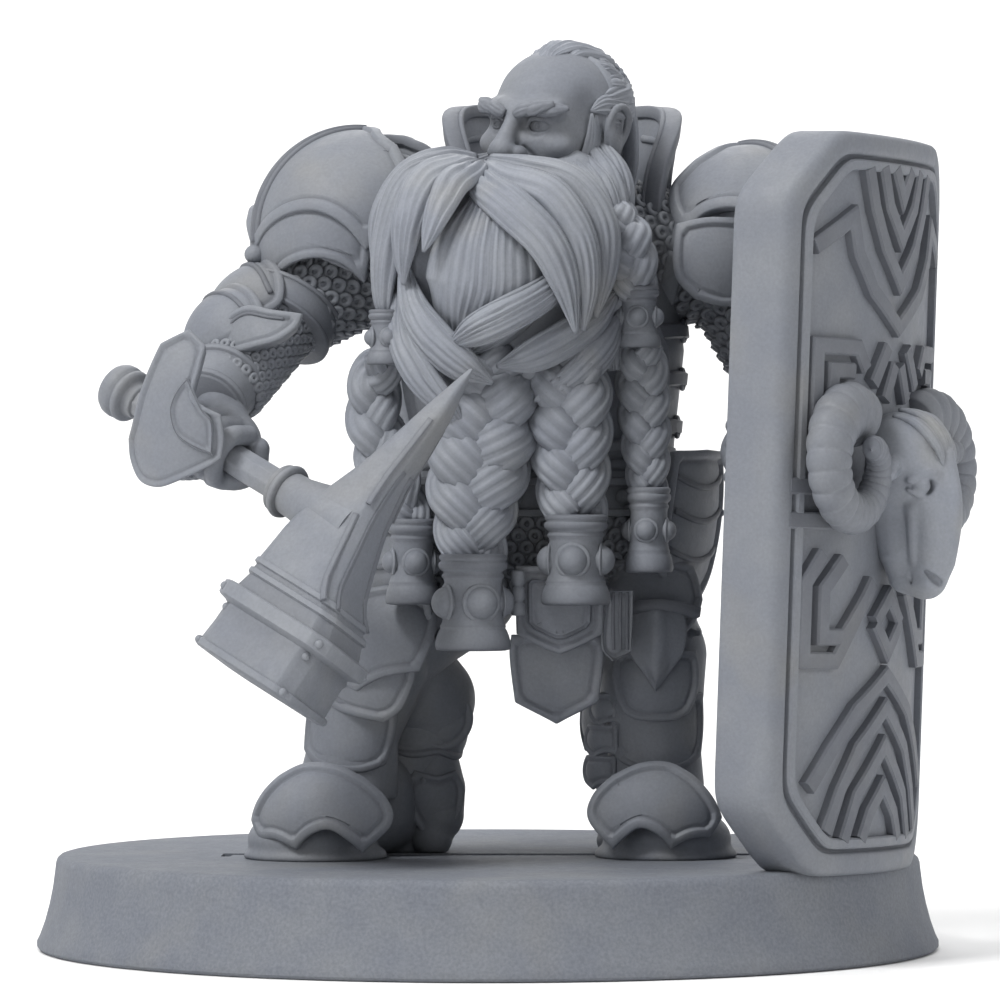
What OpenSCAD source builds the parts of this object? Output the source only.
/* [Base] */
// Diameter of the round base at its foot
base_d = 32; // [30:0.5:34]
// Diameter of the base's upper face
base_top_d = 30.4; // [29:0.1:30.6]
// Height of the base
base_h = 3.35; // [3:0.05:3.6]
// Length of the slot that takes the figure's tab
slot_l = 20; // [18:0.5:21]
// Width of the slot
slot_w = 1.8; // [1.6:0.1:2]

/* [Shield] */
// Width of the shield board
shield_w = 12.6; // [12:0.1:13]
// Height of the shield board
shield_h = 25.2; // [24:0.1:25.4]
// Thickness of the shield board
shield_t = 2.1; // [1.8:0.1:2.2]
// Length cut off each corner of the board
shield_cut = 2.3; // [1.8:0.1:2.6]
// Way the shield faces, turned from the front to the figure's left
shield_yaw = 62; // [60:1:64]
// Sideways lean of the shield
shield_lean = 2; // [0:0.5:3]

/* [Hammer] */
// Width across the flats of the hammer's shaft
haft_d = 1.05; // [0.9:0.05:1.2]
// Length of the shaft
haft_l = 9.8; // [9.6:0.1:10]
// Width of the hammer head across its faces
hammer_w = 4.9; // [4.6:0.1:5.1]
// Length of the hammer head from the striking face to the tip of its spike
hammer_l = 13.3; // [13:0.1:13.8]

/* [Pins] */
// Diameter of the brass pins in the glue joints
pin_d = 0.8; // [0.6:0.1:1]
// Length of a brass pin
pin_l = 2.4; // [2:0.2:2.6]
// Gap left round a pin or a peg for the glue
glue_gap = 0.03; // [0.02:0.01:0.05]

/* [Hidden] */

// Colours: bare grey casting resin throughout, with brass pins hidden in the glue joints
resin = "#85888d";
brass = "#b08d4a";

// Curves: smooth sides of exact shapes, and the balls that hulls are stretched over
$fn = 64;
ball_fn = 18;
eps = 0.01;

// Places of the body, as [x, y, z] or [x, y, z, radius]
slot_y = -1.4;
floor_z = base_h;
heel_right = [-2.3, 2.6, floor_z + 1.4, 1.4];
toe_right = [-6.6, -3.7, floor_z + 1.1, 1.7];
ankle_right = [-4.4, -0.2, 6.4, 1.9];
knee_right = [-4.0, -1.4, 10.2, 2.2];
calf_right = [-2.1, 1.0, 8.4, 1.9];
hip_right = [-1.2, 0.6, 13.4, 2.4];
heel_left = [5.1, 3.3, floor_z + 1.5, 1.5];
toe_left = [6.2, -2.9, floor_z + 1.1, 1.9];
ankle_left = [5.7, 0.6, 6.4, 1.9];
knee_left = [5.7, -0.9, 10.4, 2.1];
calf_left = [5.0, 1.9, 8.4, 2];
hip_left = [4.3, 0.6, 13.4, 2.4];
waist = [1.6, 0.6, 16.4];
chest = [1.6, 0.6, 21];
neck = [1.9, 0.2, 25.6];
skull = [2.3, -1.9, 29.4, 2.6];
shoulder_right = [-4.6, 0.4, 25.15];
elbow_right = [-7.5, -1.4, 22.4];
wrist_right = [-9.2, -4.3, 19.7];
fist_right = [-10.2, -6.2, 18.5];
shoulder_left = [9, 0.8, 24.8];
elbow_left = [10.3, -0.2, 20.6];
wrist_left = [9.9, -3.1, 18.7];
fist_left = [9.2, -5.2, 17.6];

// Places of the beard, braids and rings
beard_chin = [0.9, -4.6, 26.6, 1.7];
beard_bulge = [0.0, -5.5, 23.9, 2.4];
beard_low = [0.4, -4.7, 21.0, 2.6];

// Hammer: the head hangs on the end of the shaft, with its spike up and its striking face down
hammer_c = [-4.4, -10.6, 14.75];
haft_yaw = 38;
haft_drop = 25;
hammer_roll = 24;
spike_share = 0.52;
collar_at = 3.3;

// Grip bar on the back of the shield, in the board's own frame
grip_d = 0.8;
grip_off = 3.6;
grip_x = 0.3;
grip_y = 1.7;
grip_half = 2.6;
post_w = 1.2;

// Shield: middle of the board's front face, and the radius to which the board is bent
shield_c = [13.92, -8.1, 15.7];
board_r = 14;
board_half = shield_h / 2;
horn_turn = 410;
horn_steps = 12;

// ---------- Helpers ----------

// Places children at a point with their +Z pointing out of the figure: yaw turns to the figure's left,
// tilt turns upward and roll spins about the outward direction
module aim(at, yaw = 0, tilt = 0, roll = 0) {
    translate(at)
        rotate([0, 0, yaw])
            rotate([90 - tilt, 0, 0])
                rotate([0, 0, roll])
                    children();
}

// Rounded limb stretched over balls given as [x, y, z, radius]
module limb(balls, fn = ball_fn) {
    hull()
        for (b = balls)
            translate([b[0], b[1], b[2]])
                sphere(r = b[3], $fn = fn);
}

// Ball's place and radius, from a point
function ball(at, r) = [at[0], at[1], at[2], r];

// Domed armour plate: a slice of a spherical shell of radius r, cut to an outline
module plate(at, yaw, tilt, roll, r, t, outline) {
    aim(at, yaw, tilt, roll)
        intersection() {
            translate([0, 0, -r])
                rotate([90, 0, 0])
                    difference() {
                        sphere(r = r);
                        sphere(r = r - t);
                    }
            translate([0, 0, -r])
                linear_extrude(r + 1)
                    polygon(outline);
        }
}

// Turned ring for a braid's end: two rims, a waist between them and a row of round studs
module braid_ring(at, r, h, studs = 5, turn = 0) {
    translate(at) {
        rotate_extrude()
            polygon([[0, 0], [r, 0], [r, 0.16 * h], [0.86 * r, 0.24 * h], [0.8 * r, 0.5 * h],
                [0.8 * r, 0.7 * h], [0.92 * r, 0.76 * h], [0.92 * r, h], [0, h]]);
        for (i = [0:studs - 1])
            rotate([0, 0, turn + i * 360 / studs])
                translate([0, -0.78 * r, 0.47 * h])
                    sphere(r = 0.3 * r, $fn = 24);
    }
}

// Board's own frame: +Z out of the front face, +Y up, at the middle of that face
module on_board() {
    translate(shield_c)
        rotate([0, shield_lean, 0])
            rotate([0, 0, shield_yaw])
                rotate([90, 0, 0])
                    children();
}

// Hammer's own frame: +X along the shaft away from the hand, +Z along the head to the spike
module on_hammer() {
    translate(hammer_c)
        rotate([0, 0, -haft_yaw])
            rotate([0, haft_drop, 0])
                rotate([-hammer_roll, 0, 0])
                    children();
}

module board_outline(inset = 0) {
    w = shield_w / 2 - inset;
    h = board_half - inset;
    c = shield_cut - inset / 2;
    polygon([[-w + c, -h], [w - c, -h], [w, -h + c], [w, h - c], [w - c, h], [-w + c, h],
        [-w, h - c], [-w, -h + c]]);
}

// ---------- Base ----------

module base() {
    color(resin)
        difference() {
            cylinder(h = base_h, d1 = base_d, d2 = base_top_d);
            translate([0.6 - slot_l / 2, slot_y - slot_w / 2, base_h - 2.2])
                cube([slot_l, slot_w, 2.3]);
        }
}

module base_tab() {
    color(resin)
        translate([0.6 - slot_l / 2 + 0.25, slot_y - slot_w / 2 + 0.25, base_h - 2.1])
            cube([slot_l - 0.5, slot_w - 0.5, 2.1]);
}

// ---------- Legs ----------

// Boot: rounded sole from heel to toe with an ankle rising out of it, flat where it stands
module boot(heel, toe, ankle) {
    color(resin)
        intersection() {
            limb([heel, toe, ball(ankle, ankle[3] * 0.85),
                [heel[0], heel[1], floor_z + 0.3, heel[3]], [toe[0], toe[1], floor_z + 0.2, toe[3]]]);
            translate([-base_d / 2, -base_d / 2, floor_z])
                cube([base_d, base_d, ankle[2] - floor_z - 0.4]);
        }
}

module boot_right() boot(heel_right, toe_right, ankle_right);
module boot_left() boot(heel_left, toe_left, ankle_left);

sabaton_outline = [[-2, 1.7], [2, 1.7], [2.5, 0], [2.3, -1.5], [1.1, -0.9], [0, -1.9], [-1.1, -0.9],
    [-2.3, -1.5], [-2.5, 0]];

module sabaton_right() color(resin) plate([-6.9, -4.9, 6.2], -30, 28, 0, 3.2, 0.4, sabaton_outline);
module sabaton_left() color(resin) plate([6.1, -4.2, 6.2], 8, 28, 0, 3.2, 0.4, sabaton_outline);

// Lower leg, from above the boot to the knee
module shin(ankle, knee, calf) {
    color(resin)
        intersection() {
            limb([ankle, calf, ball(knee, knee[3] * 0.95)]);
            translate([-base_d / 2, -base_d / 2, ankle[2] - 0.4])
                cube([base_d, base_d, knee[2] - ankle[2] + 0.4]);
        }
}

module shin_right() shin(ankle_right, knee_right, calf_right);
module shin_left() shin(ankle_left, knee_left, calf_left);

knee_outline = [[-2.1, 1.9], [0, 2.5], [2.1, 1.9], [2.3, -0.7], [1.1, -2.1], [-1.1, -2.1], [-2.3, -0.7]];

module knee_plate_right() color(resin) plate([-4.9, -4.1, 10.4], -28, 4, 0, 3, 0.45, knee_outline);
module knee_plate_left() color(resin) plate([5.9, -3.5, 10.6], 5, 4, 0, 3, 0.45, knee_outline);

// Upper leg, from the knee to the hip, cut off under the mail skirt
module thigh(knee, hip) {
    color(resin)
        intersection() {
            limb([ball(knee, knee[3]), ball(hip, hip[3])]);
            translate([-base_d / 2, -base_d / 2, knee[2]])
                cube([base_d, base_d, 12.6 - knee[2]]);
        }
}

module thigh_right() thigh(knee_right, hip_right);
module thigh_left() thigh(knee_left, hip_left);

// ---------- Trunk ----------

// Oval slab, the building block of the trunk
module oval(at, z, rx, ry, h = 0.2) {
    translate([at[0], at[1], z])
        scale([1, ry / rx, 1])
            cylinder(r = rx, h = h, $fn = 32);
}

module mail_skirt() {
    color(resin)
        hull() {
            oval(waist, 12.6, 5.6, 4.3);
            oval(waist, 15.2, 5.2, 4);
        }
}

module belt() {
    color(resin)
        hull() {
            oval(waist, 15.4, 5.35, 4.15);
            oval(waist, 16.6, 5.25, 4.05);
        }
}

// Outer shape of the breast and back plates
module trunk() {
    hull() {
        oval(waist, 16.8, 5, 3.8);
        oval(chest, 21.2, 5.4, 4.2);
        oval(chest, 24.6, 4.9, 3.5);
        oval(neck, 26, 3, 2.4);
    }
}

module torso() {
    color(resin)
        difference() {
            trunk();
            translate([neck[0], neck[1], 24])
                cylinder(d = 2.4 + 2 * glue_gap, h = 3);
            shoulder_pins(glue_gap);
        }
}

loin_outline = [[-1.5, 1.6], [1.5, 1.6], [1.6, -1], [0.5, -1.6], [-0.5, -1.6], [-1.6, -1]];

module loin_plate_lower() color(resin) plate([2.4, -4.9, 9.6], 0, -6, 0, 9, 0.4, loin_outline);
module loin_plate_upper() color(resin) plate([2.5, -5.6, 12], 0, -4, 0, 9, 0.45, loin_outline);

hip_outline = [[-2.2, 2.6], [2.2, 2.6], [2.4, -1.6], [0.9, -3], [-0.9, -3], [-2.4, -1.6]];

module hip_plate_right() color(resin) plate([-3.9, -3.4, 13.6], -48, -8, 0, 5, 0.45, hip_outline);
module hip_plate_left() color(resin) plate([7.6, -1.6, 15.2], 62, -8, 0, 5, 0.45, hip_outline);

module collar() {
    color(resin)
        translate([2.3, 0.7, 26.1])
            rotate([0, 4, -28])
                rotate_extrude(angle = 236)
                    polygon([[3.3, 0], [3.8, 0], [4.3, 3.6], [4.3, 4], [3.8, 4], [3.7, 3.3]]);
}

// ---------- Head, hair and beard ----------

// Head: skull, jaw and nose on a neck whose plug drops into the body
module head() {
    color(resin)
        union() {
            limb([skull, [1.5, -3, 27.9, 1.6], [2.5, -0.9, 28, 1.8]]);
            limb([[0.9, -4.0, 28.9, 0.6], [0.3, -4.9, 28.0, 0.55]]);
            translate([neck[0], neck[1], 24.1])
                cylinder(d = 2.4, h = 4);
        }
}

module hair() {
    color(resin)
        difference() {
            limb([[2.7, -1.3, 29.5, 2.7], [3.0, -0.9, 27.6, 2.1]]);
            limb([skull, [1.5, -3, 27.9, 1.7], [2.5, -0.9, 28, 1.8]]);
            translate([-2.6, -6.6, 25])
                cube([5, 8, 8]);
            translate([neck[0], neck[1], 24.1])
                cylinder(d = 2.6, h = 4);
        }
}

module moustache_right() {
    color(resin) {
        limb([[0.2, -6.0, 27.3, 0.5], [-1.6, -6.2, 26.3, 0.9]]);
        limb([[-1.6, -6.2, 26.3, 0.9], [-2.9, -5.2, 24.3, 0.7], [-3.3, -4.6, 22.0, 0.3]]);
    }
}

module moustache_left() {
    color(resin) {
        limb([[0.7, -6.0, 27.3, 0.5], [2.2, -6.3, 26.0, 0.9]]);
        limb([[2.2, -6.3, 26.0, 0.9], [3.1, -6.5, 24.0, 0.7], [3.4, -6.4, 21.6, 0.25]]);
        limb([[2.2, -5.0, 27.0, 0.9], [4.2, -3.9, 26.4, 1.1], [4.8, -3.9, 24.8, 0.9]]);
    }
}

module beard() {
    color(resin)
        difference() {
            limb([beard_chin, beard_bulge, beard_low, [3.3, -4.6, 21.6, 1.6], [-2.4, -4.6, 21.6, 1.3]]);
            limb([skull, [1.5, -3, 27.9, 1.65], [2.5, -0.9, 28, 1.8]]);
            trunk();
        }
}

module braid_centre() color(resin) limb([[-0.1, -6.0, 19.4, 1.9], [-0.3, -6.7, 17.2, 1.75], [-0.5, -6.8, 15, 1.2]]);
module braid_middle() color(resin) limb([[2.8, -5.9, 19.6, 1.5], [2.95, -6.1, 16.6, 1.2]]);

module braid_side_left() {
    color(resin) {
        limb([[5.1, -4.2, 24.9, 0.9], [5.3, -4.4, 24.1, 0.8]]);
        limb([[5.4, -4.6, 20.3, 0.95], [5.5, -4.9, 17.1, 0.8]]);
    }
}

module braid_side_right() {
    color(resin)
        limb([[-3.9, -4.4, 19.6, 1.0], [-3.6, -5.0, 17.4, 1.05], [-2.8, -5.2, 16.0, 0.8]]);
}

module ring_centre() color(resin) braid_ring([-0.5, -6.9, 10.75], 1.3, 3.3, 5, 25);
module ring_middle() color(resin) braid_ring([3.05, -6.2, 12.3], 1.2, 3.1, 5, 5);
module ring_side_left_upper() color(resin) braid_ring([5.35, -4.5, 21.2], 0.75, 2.15, 4, -5);
module ring_side_left_lower() color(resin) braid_ring([5.6, -4.9, 13.4], 0.85, 2.95, 4, -10);
module ring_side_right_upper() color(resin) braid_ring([-3.6, -4.6, 20.6], 0.7, 1.9, 4, 30);
module ring_side_right_lower() color(resin) braid_ring([-2.6, -5.2, 12.3], 0.95, 2.95, 4, 10);

// ---------- Shoulders and arms ----------

// Points of a quarter circle of radius r, from its foot to its top, or back down when down is 1
function arc_points(r, down) =
    [for (i = [0:12]) let (a = 90 * (down == 1 ? 1 - i / 12 : i / 12)) [r * cos(a), r * sin(a)]];

// Domed shoulder guard, open below
module shoulder_dome(at, r, lean, side, inner) {
    color(resin)
        translate(at)
            rotate([0, lean, 0])
                difference() {
                    rotate_extrude()
                        polygon(concat(arc_points(r, 0), arc_points(r - 0.5, 1)));
                    translate([side < 0 ? inner : -inner - 2 * r, -r - 1, -r])
                        cube([2 * r, 2 * r + 2, 2 * r + 2]);
                }
}

// Curved lame below the shoulder guard, open towards the body
module shoulder_lame(at, r, side) {
    color(resin)
        translate(at)
            difference() {
                sphere(r = r);
                sphere(r = r - 0.45);
                translate([-r - 1, -r - 1, 0])
                    cube([2 * r + 2, 2 * r + 2, r + 2]);
                translate([-r - 1, -r - 1, -r - 3.7])
                    cube([2 * r + 2, 2 * r + 2, r + 2]);
                translate([side * 1.4 + (side < 0 ? 0 : -2 * r), -r - 1, -r])
                    cube([2 * r, 2 * r + 2, 2 * r]);
            }
}

module pauldron_right() shoulder_dome(shoulder_right, 4, -6, -1, 3);
module pauldron_left() shoulder_dome(shoulder_left, 3.9, 6, 1, 2);
module pauldron_lame_right() shoulder_lame(shoulder_right + [-0.2, -0.1, 0.1], 3.6, -1);
module pauldron_lame_left() shoulder_lame(shoulder_left + [0.2, -0.1, 0.1], 3.5, 1);

// Brass pins of the glue joints: two shoulders and the grip hand
module shoulder_pins(gap = 0) {
    translate([-3.4 - pin_l / 2 - gap, 0.6, 24])
        rotate([0, 90, 0])
            cylinder(d = pin_d + 2 * gap, h = pin_l + 2 * gap);
    translate([6.6 - pin_l / 2 - gap, 0.6, 24])
        rotate([0, 90, 0])
            cylinder(d = pin_d + 2 * gap, h = pin_l + 2 * gap);
}

module brass_pins() color(brass) shoulder_pins();

module arm_right() {
    color(resin)
        difference() {
            limb([ball(shoulder_right + [0.3, 0.1, -0.6], 2.0), ball(elbow_right, 1.7)]);
            shoulder_pins(glue_gap);
            trunk();
        }
}

module arm_left() {
    color(resin)
        difference() {
            limb([ball(shoulder_left + [-0.2, 0, -0.6], 2.0), ball(elbow_left, 1.6)]);
            shoulder_pins(glue_gap);
            trunk();
        }
}

// Band of a strap round an arm, between two places along it
module arm_strap_right() {
    color(resin)
        difference() {
            limb([ball(elbow_right + [0.5, 0.3, -0.2], 1.95), ball(elbow_right + [0.2, 0.1, -0.5], 1.9)]);
            limb([ball(shoulder_right + [0.3, 0.1, -0.6], 2.02), ball(elbow_right, 1.72)]);
            limb([ball(elbow_right, 1.62), ball(wrist_right, 1.5)]);
        }
}

elbow_outline = [[-1.9, 1.2], [0.6, 1.5], [2, 0.5], [1.2, -0.9], [-1.2, -1.2], [-2.2, -0.4]];
forearm_outline = [[-2.2, 1], [0, 1.6], [2.3, 1], [2.3, -1], [0, -1.6], [-2.2, -1]];
hand_plate_outline = [[-1.7, 2.5], [-0.1, 2.8], [1, 1.8], [1.2, 0.2], [2, -0.6], [1.9, -2.1],
    [-0.3, -2.8], [-1.8, -2.2], [-2.2, 0]];

module elbow_plate_right() color(resin) plate([-8.4, -4.1, 21.9], -35, 22, 38, 3, 0.45, elbow_outline);
module forearm_plate_right() color(resin) plate([-9.7, -2.6, 23.0], -62, 34, 30, 3.2, 0.45, forearm_outline);
module elbow_plate_left() color(resin) plate([12.3, 0.6, 20.6], 110, 0, -70, 3, 0.45, elbow_outline);
module hand_plate_right() color(resin) plate([-11.0, -8.3, 18.7], -26, 6, 0, 4.2, 0.45, hand_plate_outline);

module forearm_right() {
    color(resin)
        difference() {
            limb([ball(elbow_right, 1.6), ball(wrist_right, 1.45)]);
            limb([ball(shoulder_right + [0.3, 0.1, -0.6], 2.02), ball(elbow_right, 1.72)]);
        }
}

module forearm_left() {
    color(resin)
        difference() {
            limb([ball(elbow_left, 1.5), ball(wrist_left, 1.3)]);
            limb([ball(shoulder_left + [-0.2, 0, -0.6], 2.02), ball(elbow_left, 1.62)]);
        }
}

// Fist closed round the hammer's shaft
module hand_right() {
    color(resin)
        difference() {
            limb([ball(fist_right, 1.35), ball(wrist_right + [-0.5, -0.9, -0.6], 1.3)]);
            limb([ball(elbow_right, 1.6), ball(wrist_right, 1.45)]);
            on_hammer()
                rotate([0, -90, 0])
                    cylinder(d = haft_d * 1.09 + 2 * glue_gap, h = 14);
        }
}

// Fist closed round the grip on the back of the shield
module hand_left() {
    color(resin)
        difference() {
            limb([ball(fist_left, 1.3), ball(wrist_left + [-0.2, -0.8, -0.3], 1.2)]);
            limb([ball(elbow_left, 1.5), ball(wrist_left, 1.3)]);
            on_board()
                translate([grip_x, grip_y, -shield_t - grip_off])
                    rotate([90, 0, 0])
                        cylinder(d = grip_d + 2 * glue_gap, h = 12, center = true);
        }
}

// ---------- Hammer ----------

module hammer_haft() {
    color(resin)
        on_hammer()
            translate([-0.9, 0, 0])
                rotate([0, -90, 0])
                    cylinder(d = haft_d * 1.08, h = haft_l, $fn = 8);
}

module hammer_pommel() {
    color(resin)
        on_hammer()
            translate([-haft_l - 0.9, 0, 0])
                rotate([0, -90, 0])
                    rotate_extrude()
                        polygon([[0, 0], [0.62, 0], [0.62, 0.3], [0.95, 0.5], [0.95, 1.1], [0.6, 1.5], [0, 1.55]]);
}

module hammer_collar() {
    color(resin)
        on_hammer()
            translate([-collar_at, 0, 0])
                rotate([0, -90, 0])
                    difference() {
                        cylinder(d = 1.7, h = 0.45);
                        translate([0, 0, -eps])
                            cylinder(d = haft_d * 1.09 + 2 * glue_gap, h = 1);
                    }
}

// Head of the hammer: eye, spike, neck, band and striking block
module hammer_head() {
    half = hammer_w / 2;
    up = hammer_l * spike_share;
    down = hammer_l - up;
    color(resin)
        difference() {
            on_hammer()
                union() {
                    translate([-collar_at, 0, 0])
                        rotate([0, 90, 0])
                            cylinder(d = 1.5, h = collar_at);
                    hull() {
                        translate([0.2, 0, -0.6])
                            cube([1.9, 1.7, 3], center = true);
                        translate([0.4, 0, up - 0.1])
                            cube([0.25, 0.25, 0.2], center = true);
                    }
                    hull() {
                        translate([0.1, 0, -1])
                            cube([2.1, 1.9, 0.4], center = true);
                        translate([0.1, 0, -down + 2.4])
                            cube([hammer_w - 0.4, half + 0.6, 0.3], center = true);
                    }
                    translate([0.1, 0, -down + 2.1])
                        cube([hammer_w + 0.6, half + 1.5, 0.6], center = true);
                    translate([0.1, 0, -down + 0.95])
                        cube([hammer_w - 0.2, half + 1, 1.9], center = true);
                }
            on_hammer()
                translate([-0.9, 0, 0])
                    rotate([0, -90, 0])
                        cylinder(d = haft_d * 1.09 + 2 * glue_gap, h = haft_l);
        }
}

// ---------- Shield ----------

// Layer of the bent board between two depths below its front face, cut to the outline given as children
module bent(top, bottom) {
    intersection() {
        translate([0, 0, -board_r])
            rotate([90, 0, 0])
                difference() {
                    cylinder(r = board_r - top, h = 30, center = true);
                    cylinder(r = board_r - bottom, h = 32, center = true);
                }
        translate([0, 0, -6])
            linear_extrude(9)
                children();
    }
}

module shield_board() {
    color(resin)
        on_board()
            difference() {
                bent(0, shield_t)
                    board_outline();
                bent(shield_t - 0.6, shield_t + 1)
                    board_outline(1.1);
                bent(-1, 0.25)
                    board_outline(1.6);
            }
}

// Raised border bead and nested chevrons, standing in the sunken field
module shield_relief() {
    color(resin)
        on_board()
            bent(-0.2, 0.25)
                union() {
                    difference() {
                        board_outline(1.75);
                        board_outline(2.1);
                    }
                    for (end = [-1, 1])
                        for (k = [0:2])
                            chevron(end, 5.1 + 1.5 * k);
                }
}

// One chevron of the pattern, a bent bar that points to the middle of the board
module chevron(end, reach) {
    for (side = [-1, 1])
        polygon([[0, end * reach], [0, end * (reach + 0.8)], [side * 2.2, end * (reach + 3.9)],
            [side * 2.75, end * (reach + 3.9)]]);
}

// Animal mask in the middle of the shield
module shield_boss() {
    color(resin)
        on_board() {
            hull() {
                translate([0, 1.8, -0.2])
                    sphere(r = 2.1, $fn = ball_fn);
                translate([0, 1.6, 1.0])
                    sphere(r = 1.7, $fn = ball_fn);
                translate([0, -2.4, 2.0])
                    sphere(r = 1.0, $fn = ball_fn);
                translate([0, -2.2, 0.3])
                    sphere(r = 1.0, $fn = ball_fn);
            }
        }
}

// Ball t of the way along a curled horn, from the brow (0) to the tip (1)
function horn_ball(t, side) =
    let (a = 55 + horn_turn * t, r = 2.15 - 1.35 * t)
        [side * (3.6 - r * cos(a)), 1.1 + r * sin(a), 0.1 + 1.1 * t, 0.9 - 0.5 * t];

// Curled horns at both sides of the mask
module shield_horns() {
    color(resin)
        on_board()
            for (side = [-1, 1])
                for (i = [0:horn_steps - 1])
                    limb([horn_ball(i / horn_steps, side), horn_ball((i + 1) / horn_steps, side)], 10);
}

// Upright bar on the back of the shield, on two stand-offs
module shield_grip() {
    color(resin)
        on_board()
            translate([grip_x, grip_y, -shield_t + 0.6]) {
                translate([0, 0, -grip_off - 0.6])
                    rotate([90, 0, 0])
                        cylinder(d = grip_d, h = 2 * grip_half, center = true);
                for (end = [-1, 1])
                    translate([-post_w / 2, end * grip_half - post_w / 2, -grip_off - 0.6 - post_w / 2])
                        cube([post_w, post_w, grip_off + 0.6 + post_w / 2]);
            }
}

base();
base_tab();
boot_right();
boot_left();
sabaton_right();
sabaton_left();
shin_right();
shin_left();
knee_plate_right();
knee_plate_left();
thigh_right();
thigh_left();
mail_skirt();
belt();
loin_plate_lower();
loin_plate_upper();
hip_plate_right();
hip_plate_left();
torso();
collar();
head();
hair();
moustache_right();
moustache_left();
beard();
braid_centre();
braid_middle();
braid_side_left();
braid_side_right();
ring_centre();
ring_middle();
ring_side_left_upper();
ring_side_left_lower();
ring_side_right_upper();
ring_side_right_lower();
pauldron_right();
pauldron_lame_right();
pauldron_left();
pauldron_lame_left();
arm_right();
arm_strap_right();
elbow_plate_right();
forearm_right();
forearm_plate_right();
hand_plate_right();
hand_right();
arm_left();
elbow_plate_left();
forearm_left();
hand_left();
hammer_haft();
hammer_pommel();
hammer_collar();
hammer_head();
shield_board();
shield_relief();
shield_boss();
shield_horns();
shield_grip();
brass_pins();
